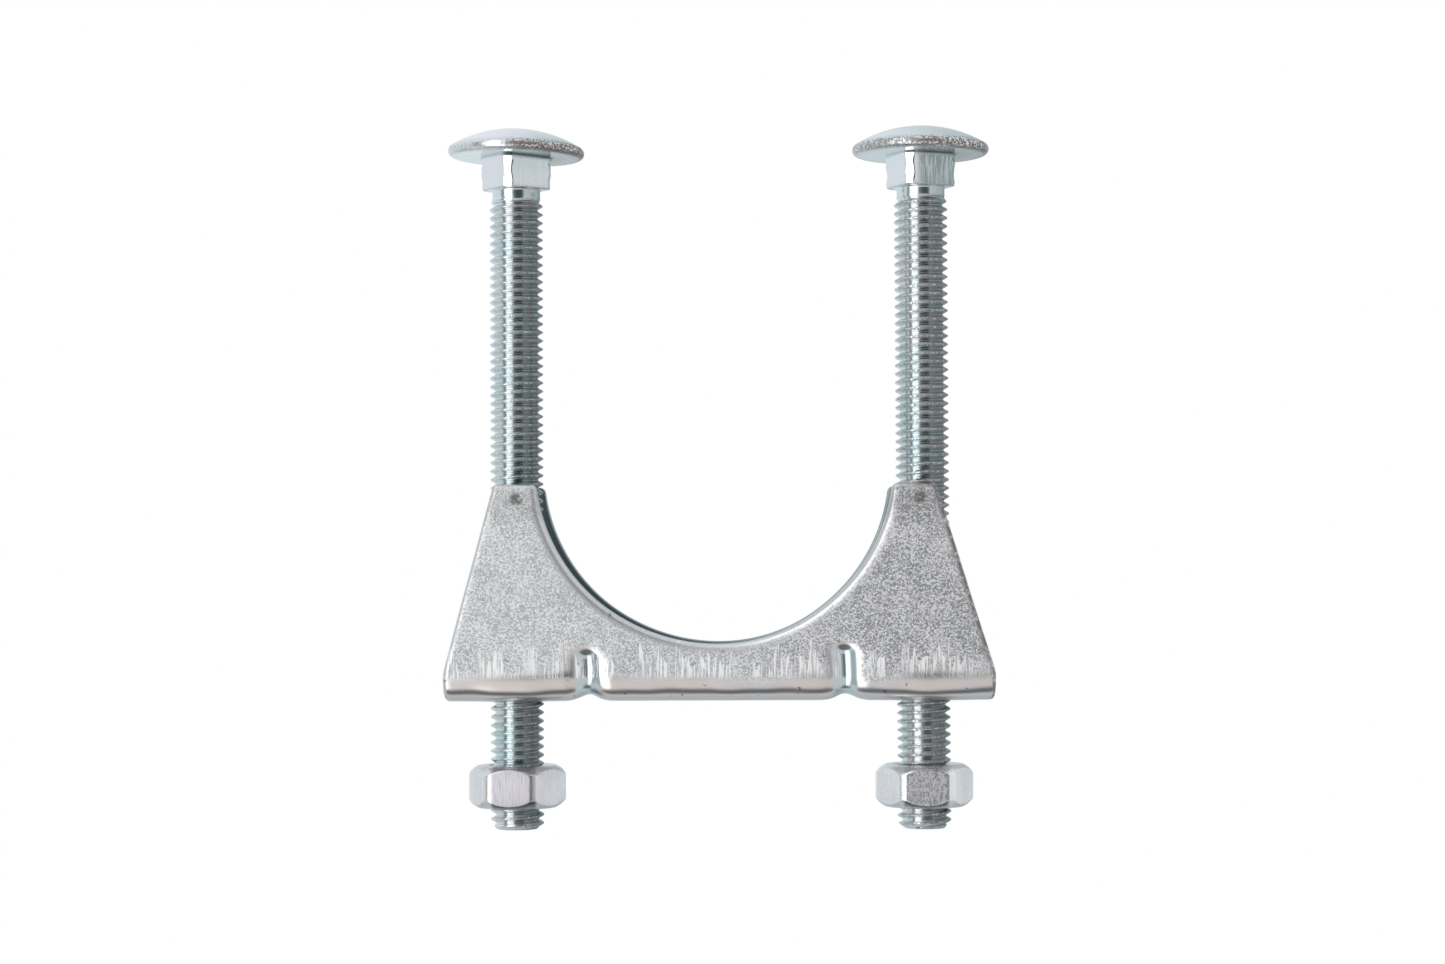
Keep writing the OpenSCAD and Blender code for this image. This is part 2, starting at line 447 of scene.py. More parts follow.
def from_crest(angle, z, crest_z):
    """Distance along the axis to the nearest crest of a right-hand thread."""
    phase = z - crest_z - PITCH * angle / (2 * math.pi)
    return np.abs((phase + PITCH / 2) % PITCH - PITCH / 2)


def helix_grid(angles, low, high, crest_z):
    """Angles and heights of rings that climb with the thread, cut off flat at both ends."""
    first = math.floor((low - crest_z) / PITCH) - 2
    last = math.ceil((high - crest_z) / PITCH) + 2
    rows = [crest_z + k * PITCH + offset for k in range(first, last + 1) for offset in THREAD_ROWS]
    z = np.array(rows)[:, None] + PITCH * angles[None, :] / (2 * math.pi)
    return np.broadcast_to(angles, z.shape), np.clip(z, low, high)


def polar(angle, radius, z, x):
    """Points round an upright axis at x."""
    return np.stack([x + radius * np.cos(angle), radius * np.sin(angle), z], axis=-1)


# Bolts


def bolt_angles(turn):
    """Columns of the bolt: closer together at the bevelled corners of its neck."""
    quarter = [0, 7, 14, 21, 28, 33, 35.2, 36.4, 37.5, 38.6, 39.8, 41.5, 45]
    quarter += [90 - a for a in quarter[-2:0:-1]]
    return np.radians([turn + 90 * k + a for k in range(4) for a in quarter])


def neck_radius(angle, turn, bevel):
    """The square neck, with its corners cut off flat."""
    a = (angle - math.radians(turn)) % (math.pi / 2)
    flat = NECK_HALF / np.maximum(np.cos(a), np.sin(a))
    return np.minimum(flat, bevel / np.cos(a - math.pi / 4))


def head_rows(head_h):
    """(radius, height) from the top of the dome, round the rim and back under it."""
    a = HEAD_R - RIM_R
    rise = head_h - RIM_R
    dome_r = (a * a + rise * rise - RIM_R**2) / (2 * (rise - RIM_R))
    tangent = math.asin(a / (dome_r - RIM_R))
    dome, rim = np.linspace(0.02, tangent, 16), np.linspace(tangent, math.pi, 11)[1:]
    rows = [(dome_r * math.sin(t), head_h - dome_r * (1 - math.cos(t))) for t in dome]
    rows += [(a + RIM_R * math.sin(t), RIM_R + RIM_R * math.cos(t)) for t in rim]
    return rows + [(8.0, 0.0), (6.6, 0.0)]


def neck_rows():
    """(distance out from the neck's side, drop below the head), down to the neck's rounded foot."""
    fillet = [(0.75, 0.0), (0.45, 0.02), (0.28, 0.1), (0.17, 0.28)]
    flare = [(0.12, 0.6), (0.08, 1.0), (0.05, 1.5), (0.02, 2.0)]
    straight = [(0.0, drop) for drop in (2.5, 3.0, 3.5, 4.0, NECK_H - 0.4)]
    foot = [(-0.04, NECK_H - 0.18), (-0.14, NECK_H - 0.05), (-0.3, NECK_H)]
    return fillet + flare + straight + foot


def bolt(side):
    """A carriage bolt: domed head, square neck, plain shank, right-hand thread and chamfered end."""
    facts = SIDES[side]
    low, high = node_box(f"carriage_bolt_{side}")
    angles = bolt_angles(facts["neck_turn"])
    columns = len(angles)
    one = np.ones(columns)
    # crease holds painted shade: under the head, round the top of the neck and in the thread's roots
    rings, wear, crease = [], [], []

    def ring(radius, z, worn=0.0, shade_amount=0.0):
        rings.append(polar(angles, radius * one, z * one, facts["x"]))
        wear.append(worn * one)
        crease.append(shade_amount * one)

    for radius, height in head_rows(high[2] - HEAD_Z):
        rim = bell((radius - HEAD_R) / 0.75)
        shade = 0.8 * smoothstep((9.0 - radius) / 3.0) if height <= 0 else 0.0
        ring(radius, HEAD_Z + height, rim, shade)
    for out, drop in neck_rows():
        # The cut-off corners are a little uneven down the neck
        wobble = 0.10 * math.sin(2.1 * drop + facts["seed"]) + 0.05 * math.sin(5.3 * drop)
        square = neck_radius(angles, facts["neck_turn"], NECK_BEVEL + wobble)
        worn_foot = 0.35 * bell((drop - NECK_H) / 0.3)
        ring(square + out, HEAD_Z - drop, worn_foot, bell((drop - 0.05) / 0.28))
    foot = HEAD_Z - NECK_H
    for out, drop in [(0.3, 0.0), (0.11, 0.04), (0.02, 0.15), (0.0, 0.3), (0.0, 0.7)]:
        ring(SHANK_R + out, foot - drop)
    thread_top = foot - SHANK_H
    ring(SHANK_R, thread_top)

    tilt = facts["head_tilt"]
    head = np.concatenate(rings)
    lift = smoothstep((head[:, 2] - (HEAD_Z - 1.5)) / 1.5)
    head[:, 2] = np.minimum(head[:, 2] - tilt * (head[:, 0] - facts["x"]) * lift, high[2])
    upper = [np.array([[facts["x"], 0, high[2]]]), head]
    faces = cap_faces(0, 1, columns) + ring_faces(len(rings), columns, 1)

    angle, z = helix_grid(angles, low[2], thread_top, facts["crest_z"])
    down = from_crest(angle, z, facts["crest_z"])
    full = THREAD_R - thread_profile(down)
    grown = smoothstep((thread_top - z) / RUN_OUT)
    radius = SHANK_R + (full - SHANK_R) * grown
    radius = np.minimum(radius, TIP_R + TIP_SLOPE * (z - low[2]))
    count = 1 + len(head)
    thread = polar(angle, radius, z, facts["x"]).reshape(-1, 3)
    faces += ring_faces(len(z), columns, count, shift=len(THREAD_ROWS))
    crest = (bell(down / 0.19) * grown).reshape(-1)
    count += len(thread)

    tip_rows = [(TIP_R, 0.0), (TIP_R - 0.35, 0.0), (TIP_R - 0.7, 0.08), (1.2, 0.3)]
    tip = [polar(angles, r * one, (low[2] + rise) * one, facts["x"]) for r, rise in tip_rows]
    dimple = 0.36
    end = np.array([[facts["x"], 0, low[2] + dimple]])
    faces += ring_faces(len(tip), columns, count)
    faces += cap_faces(count + len(tip) * columns, count + (len(tip) - 1) * columns, columns)
    points = np.concatenate(upper + [thread] + tip + [end])
    worn = np.concatenate([[0.0], *wear, crest, np.zeros(len(tip) * columns + 1)])
    # Painted shade in the thread's roots
    root = 0.7 * smoothstep((down - 0.36) / 0.2).reshape(-1)
    shade_amount = np.concatenate([[0.0], *crease, root, np.zeros(len(tip) * columns + 1)])
    return points, faces, {"wear": worn, "crease": shade_amount}


# Nuts


def nut_angles(turn):
    """Columns of the nut: closer together at its corners, which lie at 0, 60, 120 degrees and so on."""
    half = [0, 1.7, 3.2, 4.2, 5.4, 8, 12, 18, 24]
    sector = half + [30] + [60 - a for a in half[:0:-1]]
    return np.radians([turn + 60 * k + a for k in range(6) for a in sector])


def nut_radius(angle, turn):
    """The hexagon, with its corners rounded off."""
    a = (angle - math.radians(turn)) % (math.pi / 3) - math.pi / 6
    flat = NUT_HALF / np.cos(a)
    sharp = 40.0  # how suddenly the flats turn into the corner's curve
    return -np.log(np.exp(-sharp * flat) + np.exp(-sharp * NUT_CORNER_R)) / sharp


def nut_chamfer(radius):
    """Depth of the chamfer below the nut's end face."""
    return np.interp(radius, [NUT_FACE_R, 6.3, 6.75, NUT_CORNER_R], [0.02, 0.32, 0.7, 1.25])


def nut_end_rows(around, height):
    """(radius, depth below the end face) over the rounded chamfer, from the bore to the flat sides."""
    depth = nut_chamfer(around)
    level = np.zeros_like(around)
    face_rows = [(THREAD_R + NUT_MOUTH + 0.06, 0.0), (5.2, 0.0)]
    face_rows += [(NUT_FACE_R - 0.12, 0.0), (NUT_FACE_R, 0.015)]
    rows = [(level + radius, level + drop) for radius, drop in face_rows]
    for share in (0.3, 0.6, 0.85):
        radius = NUT_FACE_R + (around - NUT_FACE_R) * share
        rows.append((radius, nut_chamfer(radius)))
    rows += [(around - 0.03, depth - 0.05), (around, depth + 0.05), (around, depth + 0.25)]
    rows += [(around, depth + (height / 2 - depth) * 0.5)]
    return rows


def nut(side):
    """A hex nut: chamfered at both ends, countersunk, with a right-hand thread that fits the bolt's."""
    facts = SIDES[side]
    low, high = node_box(f"hex_nut_{side}")
    height = high[2] - low[2]
    turn = facts["nut_turn"]
    angles = nut_angles(turn)
    columns = len(angles)
    around = nut_radius(angles, turn)
    rows = nut_end_rows(around, height)
    upper = [(r, high[2] - d) for r, d in rows]
    middle = [(around, 0 * around + low[2] + height / 2)]
    lower = [(r, low[2] + d) for r, d in reversed(rows)]
    sides = [polar(angles, r, z, facts["x"]) for r, z in upper + middle + lower]

    angle, z = helix_grid(angles, low[2], high[2], facts["crest_z"])
    down = from_crest(angle, z, facts["crest_z"])
    thread_depth, countersink_slope = 0.62, 1.1
    bore = THREAD_R + NUT_CLEARANCE - np.minimum(thread_profile(down), thread_depth)
    sunk = THREAD_R + NUT_MOUTH - countersink_slope * np.minimum(z - low[2], high[2] - z)
    bore = np.maximum(bore, sunk)
    inner = polar(angle, bore, z, facts["x"]).reshape(-1, 3)
    mouth = np.full(columns, THREAD_R + NUT_MOUTH)
    lips = [polar(angles, mouth, 0 * angles + end, facts["x"]) for end in (high[2], low[2])]

    points = np.concatenate([lips[0]] + sides + [lips[1], inner])
    rings = len(sides) + 2
    faces = ring_faces(rings, columns)
    faces += ring_faces(len(z), columns, rings * columns, shift=len(THREAD_ROWS))
    # The worn corners, stored as wear: smoother, and with a painted highlight
    corner = smoothstep((around - 6.95) / 0.2)
    wear = [np.zeros(columns)] + [corner] * len(sides) + [np.zeros(columns * (1 + len(z)))]
    # Painted shade over the chamfers: faint on the top one and dark on the bottom one
    chamfer = [0.3 * bell(i - 5.0) for i in range(len(rows))]
    under = [bell((i - 6.0) / 2.0) for i in reversed(range(len(rows)))]
    shade = [s * np.ones(columns) for s in [0.0] + chamfer + [0.0] + under]
    shade += [np.zeros(columns * (1 + len(z)))]
    return points, faces, {"wear": np.concatenate(wear), "crease": np.concatenate(shade)}


# Node graphs


class Graph:
    """Short names for the nodes of one material or world."""

    def __init__(self, tree):
        self.tree = tree
        tree.nodes.clear()

    def add(self, kind, inputs=None, **settings):
        """A new node, with values or other nodes' outputs in its inputs."""
        node = self.tree.nodes.new(kind)
        for name, value in settings.items():
            setattr(node, name, value)
        for name, value in (inputs or {}).items():
            self.put(node.inputs[name], value)
        return node

    def put(self, socket, value):
        """Links an output to a socket, or sets the socket to a number or colour."""
        if isinstance(value, bpy.types.NodeSocket):
            self.tree.links.new(value, socket)
        else:
            socket.default_value = value

    def math(self, operation, *values):
        node = self.add("ShaderNodeMath", operation=operation)
        for socket, value in zip(node.inputs, values):
            self.put(socket, value)
        return node.outputs[0]

    def times(self, a, b):
        return self.math("MULTIPLY", a, b)

    def plus(self, a, b):
        return self.math("ADD", a, b)

    def minus(self, a, b):
        return self.math("SUBTRACT", a, b)

    def positive(self, value):
        """The value without its sign."""
        return self.math("ABSOLUTE", value)

    def swing(self, value, amount, base):
        """The base, raised or lowered as a value between 0 and 1 leaves its middle."""
        return self.math("MULTIPLY_ADD", self.minus(value, 0.5), amount, base)

    def map(self, value, low, high, to_low=0.0, to_high=1.0, smooth=True):
        """to_low where the value is low, to_high where it is high, and a ramp between."""
        inputs = {"Value": value, "From Min": low, "From Max": high, "To Min": to_low, "To Max": to_high}
        kind = "SMOOTHSTEP" if smooth else "LINEAR"
        return self.add("ShaderNodeMapRange", inputs, interpolation_type=kind).outputs[0]

    def mix(self, share, a, b):
        """From a to b as the share goes from 0 to 1."""
        node = self.add("ShaderNodeMix", data_type="RGBA")
        for socket, value in ((node.inputs[0], share), (node.inputs[6], a), (node.inputs[7], b)):
            self.put(socket, value)
        return node.outputs[2]

    def noise(self, place, scale, detail=2.0, roughness=0.5, distortion=0.0):
        inputs = {"Vector": place, "Scale": scale, "Detail": detail, "Roughness": roughness}
        inputs["Distortion"] = distortion
        return self.add("ShaderNodeTexNoise", inputs).outputs["Fac"]

    def attribute(self, label):
        """A value stored on the mesh's points."""
        return self.add("ShaderNodeAttribute", attribute_name=label).outputs["Fac"]

    def cells(self, place, scale):
        """A random grey for each small cell."""
        node = self.add("ShaderNodeTexVoronoi", {"Vector": place, "Scale": scale})
        return self.add("ShaderNodeSeparateColor", {"Color": node.outputs["Color"]}).outputs[0]

    def stretch(self, place, amount, shift=(0.0, 0.0, 0.0)):
        """A place scaled along each axis and shifted, for drawn-out or different noise."""
        inputs = {"Vector": place, "Scale": amount, "Location": shift}
        return self.add("ShaderNodeMapping", inputs).outputs[0]

    def band(self, value, low, high, soft):
        """1 between low and high, and 0 beyond them."""
        rise = self.map(value, low - soft, low + soft)
        fall = self.map(value, high - soft, high + soft, 1.0, 0.0)
        return self.times(rise, fall)


def rgb(r, g, b):
    """A colour as a socket takes it."""
    return (r, g, b, 1.0)


def new_material(name):
    material = bpy.data.materials.new(name)
    material.use_nodes = True
    return material, Graph(material.node_tree)


def finish_metal(graph, colour, roughness, height, bump, metal=1.0):
    """Connects a zinc surface, with its colour, roughness and relief from the graph."""
    relief_inputs = {"Height": height, "Strength": bump, "Distance": RELIEF_MM * MM}
    relief = graph.add("ShaderNodeBump", relief_inputs)
    inputs = {"Base Color": colour, "Metallic": metal, "Roughness": roughness, "Normal": relief.outputs[0]}
    surface = graph.add("ShaderNodeBsdfPrincipled", inputs)
    graph.add("ShaderNodeOutputMaterial", {"Surface": surface.outputs[0]})


def object_place(graph):
    """The place on the part, in metres, whole and as x, y and z."""
    place = graph.add("ShaderNodeTexCoord").outputs["Object"]
    parts = graph.add("ShaderNodeSeparateXYZ", {"Vector": place}).outputs
    return place, parts[0], parts[1], parts[2]


def saddle_zinc(base_z):
    """Matt zinc on sheet steel: sparkling grain, smoother folds scratched by the die, bright edges, and
    painted shade in the grooves, on the inner face and towards the right.
    """
    material, g = new_material("saddle_zinc")
    place, x, _, z = object_place(g)
    above = g.minus(z, base_z * MM)
    edge = g.attribute("edge")
    pressed = g.attribute("pressed")
    inner = g.attribute("inner")
    grain = g.noise(place, 5200, 4.0, 0.8)
    flakes = g.cells(place, 5400)
    cloud = g.noise(place, 330, 3.0, 0.55)
    patch = g.noise(place, 60, 2.0, 0.5)

    # Where the die rubbed: tongues of fine upright scratches just over the folds
    wall = g.map(g.swing(patch, 5 * MM, above), 2.6 * MM, 4.6 * MM)
    scratch_lines = g.noise(g.stretch(place, (1.0, 1.0, 0.06)), 3200, 2.0, 0.6)
    tongues = g.noise(g.stretch(place, (1.0, 0.0, 0.0)), 420, 2.0, 0.6)
    scratch_top = g.map(tongues, 0.35, 0.65, 3.8 * MM, 9.5 * MM, smooth=False)
    below_top = g.map(g.minus(scratch_top, above), 0.0, 0.25 * MM)
    in_band = g.times(g.map(above, 3.3 * MM, 3.8 * MM), below_top)
    some = g.map(g.noise(g.stretch(place, (1.0, 0.0, 0.0)), 120, 1.0, 0.5), 0.39, 0.49)
    in_band = g.times(in_band, some)
    scratches = g.times(in_band, g.map(scratch_lines, 0.46, 0.56))

    # Grain on the flat walls, with painted shade that darkens it towards the right, away from the light, and
    # fine dark hairs in it
    matt = g.times(wall, g.minus(1.0, g.times(edge, 0.9)))
    matt = g.times(matt, g.map(pressed, 0.03, 0.35, 1.0, 0.0))
    mixed = g.plus(g.times(grain, 0.7), g.times(flakes, 0.3))
    light = g.map(g.swing(cloud, 0.24, mixed), 0.38, 0.62)
    # Painted shade: the grain's colours get darker from the left end to the right end
    side = g.map(x, -30 * MM, 30 * MM)
    bright = g.mix(side, rgb(0.86, 0.865, 0.87), rgb(0.84, 0.83, 0.835))
    dark = g.mix(side, rgb(0.50, 0.525, 0.545), rgb(0.30, 0.315, 0.34))
    grained = g.mix(light, dark, bright)
    lines = g.positive(g.minus(g.noise(place, 900, 3.0, 0.6, 1.2), 0.5))
    hairs = g.times(g.map(lines, 0.004, 0.022, 1.0, 0.0), g.map(cloud, 0.45, 0.62))
    hairs = g.times(hairs, g.map(side, 0.0, 1.0, 0.25, 0.8))
    grained = g.mix(g.times(hairs, 0.55), grained, rgb(0.28, 0.27, 0.30))

    # The smoother base, folds, grooves and scratches, with painted shade: teal deep in the grooves, and dark
    # on the inner face
    smooth = g.mix(g.map(patch, 0.35, 0.65), rgb(0.70, 0.665, 0.65), rgb(0.68, 0.675, 0.69))
    colour = g.mix(matt, smooth, grained)
    # Painted shade, tinted teal, in the deeper part of the grooves
    colour = g.mix(g.map(pressed, 0.36, 0.5), colour, rgb(0.60, 0.70, 0.72))
    colour = g.mix(g.times(in_band, 0.5), colour, rgb(0.55, 0.55, 0.565))
    colour = g.mix(g.times(scratches, 0.9), colour, rgb(1.0, 1.0, 1.0))
    # Painted shade on the inner face, inside the channel
    colour = g.mix(g.times(inner, 0.85), colour, rgb(0.22, 0.29, 0.30))
    pits = g.map(g.noise(place, 800, 2.0, 0.5), 0.70, 0.76)
    colour = g.mix(g.times(pits, 0.75), colour, rgb(0.20, 0.19, 0.19))

    # Soiling: a spot at the top of each ear. Then darker blotches along the right end's edge, and painted
    # shade that dulls the left end's edges
    from_axis = g.positive(g.minus(g.positive(x), 29.2 * MM))
    spot_height = g.band(above, 28.6 * MM, 30.3 * MM, 0.5 * MM)
    spot = g.times(spot_height, g.map(from_axis, 0.3 * MM, 1.5 * MM, 1.0, 0.0))
    ear_height = g.times(g.band(above, 26.5 * MM, 30.8 * MM, 1.2 * MM), 0.22)
    blotch = g.map(g.noise(place, 1100, 4.0, 0.8), 0.36, 0.50)
    smudge = g.times(g.math("MAXIMUM", spot, ear_height), blotch)
    colour = g.mix(g.times(smudge, 0.9), colour, rgb(0.13, 0.12, 0.115))
    outer = g.times(g.map(x, 26 * MM, 31 * MM), g.map(edge, 0.15, 0.7))
    right_edge_blotches = g.times(outer, g.map(g.noise(place, 900, 4.0, 0.8), 0.36, 0.50))
    colour = g.mix(g.times(right_edge_blotches, 0.9), colour, rgb(0.16, 0.14, 0.13))
    # Painted shade: the left end's edges are dulled a little, which dims their highlight
    left_edge_shade = g.times(g.map(x, -26 * MM, -32 * MM), edge)
    colour = g.mix(g.times(left_edge_shade, 0.25), colour, rgb(0.52, 0.50, 0.49))
    rust_place = g.stretch(place, (1, 1, 1), (0.013, 0.02, 0.004))
    rust = g.map(g.noise(rust_place, 330, 3.0, 0.6), 0.745, 0.77)
    colour = g.mix(g.times(rust, 0.8), colour, rgb(0.55, 0.30, 0.12))

    rough_grain = g.map(light, 0.0, 1.0, 0.72, 0.58, smooth=False)
    roughness = g.math("MULTIPLY_ADD", matt, g.minus(rough_grain, 0.25), 0.25)
    roughness = g.minus(roughness, g.times(scratches, 0.12))
    fine = g.times(g.plus(grain, g.times(flakes, 0.6)), matt)
    height = g.plus(fine, g.times(g.noise(place, 150, 2.0, 0.5), 0.9))
    height = g.plus(height, g.times(scratches, 0.5))
    height = g.minus(height, g.times(pits, 1.2))
    finish_metal(g, colour, roughness, height, 0.55)
    return material


def bolt_zinc(side):
    """Bright, slightly blue zinc, with brown rubbed crests and rim, a pale dome painted with its
    reflections, painted light on the neck's left faces, and painted shade to the right, under the head and
    in the thread's roots.
    """
    material, g = new_material(f"bolt_zinc_{side}")
    facts = SIDES[side]
    place, x, _, z = object_place(g)
    wear = g.attribute("wear")
    crease = g.attribute("crease")

    def right_of(start, end, to_low=0.0, to_high=1.0):
        return g.map(x, (facts["x"] + start) * MM, (facts["x"] + end) * MM, to_low, to_high)

    def heights(low, high, soft):
        return g.band(z, low * MM, high * MM, soft * MM)

    shifted = g.stretch(place, (1, 1, 1), (facts["seed"], 0.0, 0.0))
    tint = g.noise(shifted, 130, 3.0, 0.55)
    speck = g.noise(shifted, 3000, 4.0, 0.7)
    colour = g.mix(g.map(tint, 0.35, 0.65), rgb(0.68, 0.78, 0.795), rgb(0.78, 0.815, 0.83))
    colour = g.mix(g.map(speck, 0.54, 0.72, 0.0, 0.35), colour, rgb(0.36, 0.42, 0.42))

    # Painted shade on the shank, darker to the right, away from the light; and the pale dome, painted with
    # its reflections
    neck_end = HEAD_Z - NECK_H
    low_down = g.map(z, (neck_end + 0.3) * MM, (neck_end - 0.3) * MM)
    # Painted shade down the right side of the shank
    across = g.times(right_of(-0.8, 3.4), low_down)
    colour = g.mix(g.times(across, 0.8), colour, rgb(0.30, 0.36, 0.37))
    # Painted reflection: the dome is pale, pinkish to the left and bluer to the right
    dome = g.map(z, (HEAD_Z + 1.1) * MM, (HEAD_Z + 1.6) * MM)
    dome_reflection_colour = g.mix(right_of(-2, 6), rgb(*facts["dome"]), rgb(0.85, 0.91, 0.93))
    colour = g.mix(g.times(dome, 0.9), colour, dome_reflection_colour)

    # Neck: painted light on its left faces, and streaks with painted shade on its right faces
    on_neck = heights(neck_end + 0.1, HEAD_Z - 0.3, 0.2)
    # Painted light on the neck's left faces
    neck_left_light = g.times(on_neck, right_of(0, -3.0))
    colour = g.mix(g.times(neck_left_light, 0.8), colour, rgb(0.82, 0.81, 0.86))
    neck_right = g.times(on_neck, right_of(-1.0, 0.2))
    streaks = g.map(g.noise(g.stretch(shifted, (1.0, 1.0, 0.05)), 3400, 3.0, 0.6), 0.40, 0.60)
    amount = g.times(neck_right, facts["streaks"])
    # Painted shade over the right faces, deepest in the streaks, which are real marks
    streaks_and_shade = g.times(amount, g.map(streaks, 0.0, 1.0, 0.55, 1.0))
    colour = g.mix(streaks_and_shade, colour, rgb(0.26, 0.33, 0.33))

    # Shade under the head and in the thread's roots, and the rubbed rim and crests
    under_head = g.times(heights(HEAD_Z - 0.3, HEAD_Z + 0.3, 0.15), right_of(2.5, 5.5))
    colour = g.mix(g.times(under_head, 0.85), colour, rgb(0.25, 0.31, 0.31))
    shade = g.times(crease, right_of(-2.4, 0.5))
    colour = g.mix(g.times(shade, 0.85), colour, rgb(0.10, 0.13, 0.14))
    worn_side = right_of(-2.5, 1.6, facts["wear"], 1.0)
    rubbed = g.times(g.times(wear, worn_side), g.map(speck, 0.43, 0.52))
    colour = g.mix(g.times(rubbed, 0.95), colour, rgb(0.17, 0.11, 0.095))

    roughness = g.map(speck, 0.3, 0.7, 0.10, 0.22)
    roughness = g.math("MULTIPLY_ADD", rubbed, 0.25, roughness)
    height = g.plus(g.noise(place, 900, 3.0, 0.6), g.times(rubbed, -0.8))
    height = g.math("MULTIPLY_ADD", g.times(amount, streaks), 1.2, height)
    metal = g.math("MULTIPLY_ADD", rubbed, -0.7, 1.0)
    finish_metal(g, colour, roughness, height, 0.35, metal)
    return material


def nut_zinc(side):
    """Paler satin zinc, scratched along its flats, with worn, smoother corners and a painted highlight on
    them, and painted shade on its front faces and chamfers.
    """
    material, g = new_material(f"nut_zinc_{side}")
    facts = SIDES[side]
    place, x, y, _ = object_place(g)
    corner = g.attribute("wear")
    crease = g.attribute("crease")
    shifted = g.stretch(place, (1, 1, 1), (facts["seed"], 0.0, 0.0))
    scratch = g.noise(g.stretch(shifted, (1.0, 1.0, facts["scratch"])), 4000, 3.0, 0.65)
    speck = g.noise(shifted, 2600, 3.0, 0.6)
    cloud = g.noise(shifted, 260, 2.0, 0.5)
    from_axis = g.positive(g.minus(x, facts["x"] * MM))
    front = g.map(from_axis, 2.9 * MM, 3.5 * MM, 1.0, 0.25)
    colour = g.mix(g.map(cloud, 0.35, 0.65), rgb(0.82, 0.81, 0.825), rgb(0.90, 0.895, 0.90))
    scratched = g.times(g.map(scratch, 0.48, 0.60, 0.0, 0.85), front)
    colour = g.mix(scratched, colour, rgb(0.42, 0.385, 0.47))
    colour = g.mix(g.map(speck, 0.62, 0.78, 0.0, 0.5), colour, rgb(0.50, 0.49, 0.49))
    # Painted highlight on the worn corners
    colour = g.mix(g.times(corner, 0.6), colour, rgb(0.93, 0.93, 0.93))
    # Painted shade on the faces that look forward, as much as front sets
    front_shade = g.times(front, g.map(y, 2 * MM, -3 * MM))
    colour = g.mix(g.times(front_shade, facts["front"]), colour, rgb(0.44, 0.42, 0.47))
    # Painted shade along the chamfers of the faces across the middle
    colour = g.mix(g.times(g.times(crease, 0.95), front), colour, rgb(0.07, 0.10, 0.11))
    roughness = g.minus(g.map(scratch, 0.3, 0.7, 0.42, 0.30), g.times(corner, 0.12))
    height = g.plus(scratch, g.times(speck, 0.6))
    finish_metal(g, colour, roughness, height, 0.35)
    return material


# Studio


def studio_light():
    """A white studio with one tall soft light to the left and a darker stretch in front."""
    world = bpy.data.worlds.new("studio")
    bpy.context.scene.world = world
    world.use_nodes = True
    g = Graph(world.node_tree)
    direction = g.add("ShaderNodeTexCoord").outputs["Generated"]
    x, y, z = g.add("ShaderNodeSeparateXYZ", {"Vector": direction}).outputs[:3]
    azimuth = g.times(g.math("ARCTAN2", x, g.times(y, -1.0)), math.degrees(1))
    height = g.times(g.math("ARCSINE", z), math.degrees(1))

    # Degrees to the right of straight in front, and degrees up
    dark = g.times(g.band(azimuth, -12, 40, 6), g.band(height, -8, 48, 7))
    core = g.times(g.band(azimuth, 2, 34, 8), g.band(height, -6, 40, 8))
    gap = g.times(g.band(azimuth, -73, -56, 3), g.band(height, -40, 40, 8))
    strip = g.times(g.band(azimuth, -53, -18, 4), g.band(height, -55, 66, 8))
    below = g.times(g.band(y, -0.46, 0.02, 0.09), g.map(z, -0.75, -0.86))
    colour = g.mix(g.map(z, -0.6, 0.8), rgb(0.76, 0.735, 0.72), rgb(0.86, 0.88, 0.92))
    colour = g.mix(g.map(y, -0.2, 0.5), colour, rgb(0.80, 0.86, 0.885))
    rear_right = g.times(g.map(y, 0.5, 0.75), g.map(x, -0.2, 0.25))
    colour = g.mix(g.times(rear_right, 0.8), colour, rgb(0.42, 0.48, 0.50))
    rear_low = g.times(g.map(y, 0.1, 0.4), g.map(z, -0.2, -0.6))
    colour = g.mix(g.times(rear_low, 0.5), colour, rgb(0.34, 0.38, 0.40))
    colour = g.mix(dark, colour, rgb(0.16, 0.19, 0.20))
    colour = g.mix(g.times(core, 0.8), colour, rgb(0.03, 0.045, 0.05))
    colour = g.mix(gap, colour, rgb(0.27, 0.31, 0.33))
    colour = g.mix(strip, colour, rgb(2.2, 2.2, 2.2))
    colour = g.mix(below, colour, rgb(0.11, 0.115, 0.12))
    around = g.add("ShaderNodeBackground", {"Color": colour, "Strength": 1.0})
    white = g.add("ShaderNodeBackground", {"Color": rgb(1, 1, 1), "Strength": 1.0})
    seen = g.add("ShaderNodeLightPath").outputs["Is Camera Ray"]
    both = g.add("ShaderNodeMixShader", {"Fac": seen})
    g.put(both.inputs[1], around.outputs[0])
    g.put(both.inputs[2], white.outputs[0])
    g.add("ShaderNodeOutputWorld", {"Surface": both.outputs[0]})


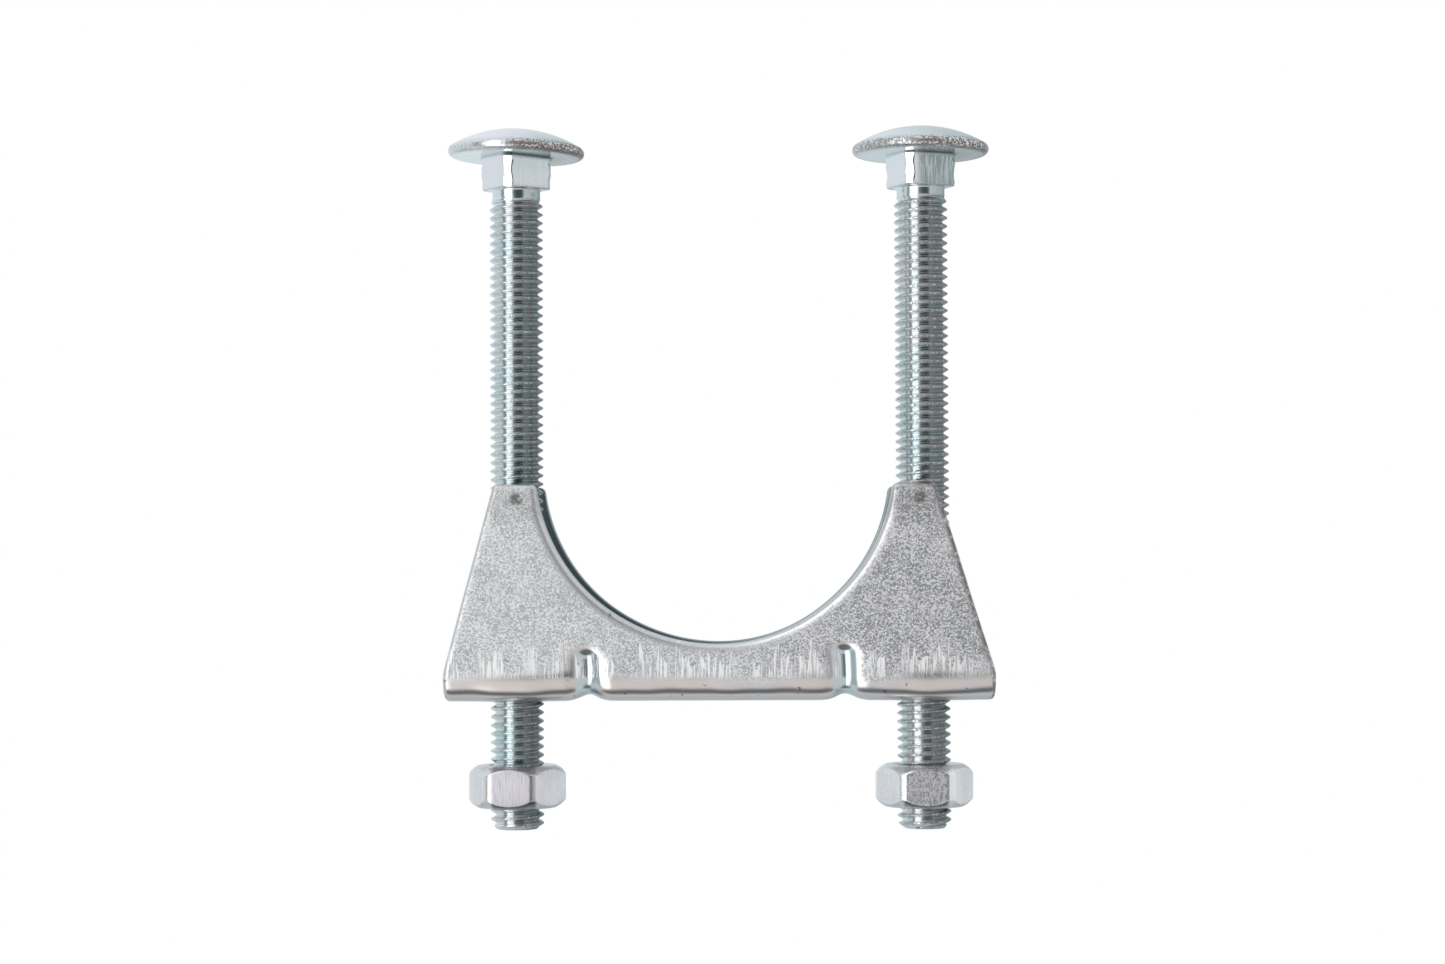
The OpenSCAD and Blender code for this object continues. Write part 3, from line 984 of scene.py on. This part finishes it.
def floor():
    """A plain white floor that shows from above only, below the bolts at the end of their travel."""
    material, g = new_material("floor_white")
    shine = g.add("ShaderNodeEmission", {"Color": rgb(1, 1, 1), "Strength": 1.0})
    clear = g.add("ShaderNodeBsdfTransparent")
    back = g.add("ShaderNodeNewGeometry").outputs["Backfacing"]
    both = g.add("ShaderNodeMixShader", {"Fac": back})
    g.put(both.inputs[1], shine.outputs[0])
    g.put(both.inputs[2], clear.outputs[0])
    g.add("ShaderNodeOutputMaterial", {"Surface": both.outputs[0]})
    mesh = bpy.data.meshes.new("floor")
    corners = [(x * FLOOR_HALF, y * FLOOR_HALF, FLOOR_Z) for x, y in ((-1, -1), (1, -1), (1, 1), (-1, 1))]
    mesh.from_pydata(corners, [], [(0, 1, 2, 3)])
    mesh.materials.append(material)
    plane = bpy.data.objects.new("floor", mesh)
    bpy.context.scene.collection.objects.link(plane)
    plane.visible_glossy = False
    plane.visible_diffuse = False
    plane.visible_shadow = False


def camera():
    """The camera stands in front, a little low and to the right, and looks slightly up and left."""
    data = bpy.data.cameras.new("camera")
    data.sensor_width = 36.0
    data.lens = CAMERA_LENS
    data.clip_start, data.clip_end = 0.01, 10.0
    place = Vector(CAMERA_PLACE)
    yaw, pitch, roll = (math.radians(a) for a in CAMERA_TURNS)
    turn = Matrix.Rotation(yaw, 4, "Z") @ Matrix.Rotation(pitch, 4, "X") @ Matrix.Rotation(roll, 4, "Y")
    shot = bpy.data.objects.new("camera", data)
    shot.matrix_world = Matrix.Translation(place) @ turn @ Matrix.Rotation(math.pi / 2, 4, "X")
    bpy.context.scene.collection.objects.link(shot)
    bpy.context.scene.camera = shot


saddle = Saddle()
build("saddle_sheet", "saddle", "saddle", "saddle_zinc", *saddle.mesh(), saddle_zinc(saddle.base_z))
for side in SIDES:
    build(f"bolt_{side}", f"carriage_bolt_{side}", f"{side}_bolt", "bolt_zinc", *bolt(side), bolt_zinc(side))
    build(f"nut_{side}", f"hex_nut_{side}", f"{side}_nut", "nut_zinc", *nut(side), nut_zinc(side))
studio_light()
floor()
camera()
bpy.context.scene.view_settings.view_transform = "Standard"
